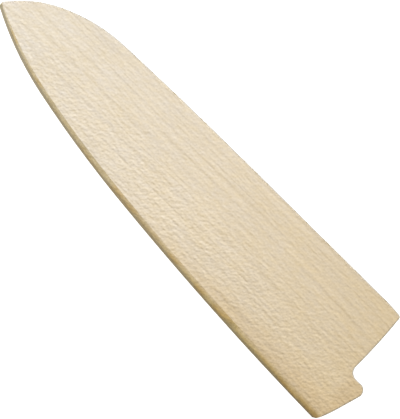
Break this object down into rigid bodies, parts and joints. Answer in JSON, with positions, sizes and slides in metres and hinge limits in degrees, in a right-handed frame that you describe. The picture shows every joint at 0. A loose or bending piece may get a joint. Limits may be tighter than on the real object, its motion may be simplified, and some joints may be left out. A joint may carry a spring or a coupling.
{
  "type": "knife blade guard",
  "caption": "Flat wooden knife blade guard in the outline of a chef's knife, with a slot for the blade and a notched mouth.",
  "frame": {"origin": "middle of the back face, under the centre of the bounding box", "axes": "+X from the tip to the mouth, +Y from the cutting-edge side to the spine, +Z from the back face to the front face"},
  "size_m": [0.2112, 0.0534, 0.013],
  "materials": {
    "maple": "fine sanded, unvarnished",
    "nickel": "nickel-plated, bright"
  },
  "bodies": {
    "root": {"front_board": "maple", "back_board": "maple", "front_magnet_1": "nickel", "front_magnet_2": "nickel", "front_magnet_3": "nickel", "back_magnet_1": "nickel", "back_magnet_2": "nickel", "back_magnet_3": "nickel"}
  },
  "joints": []
}
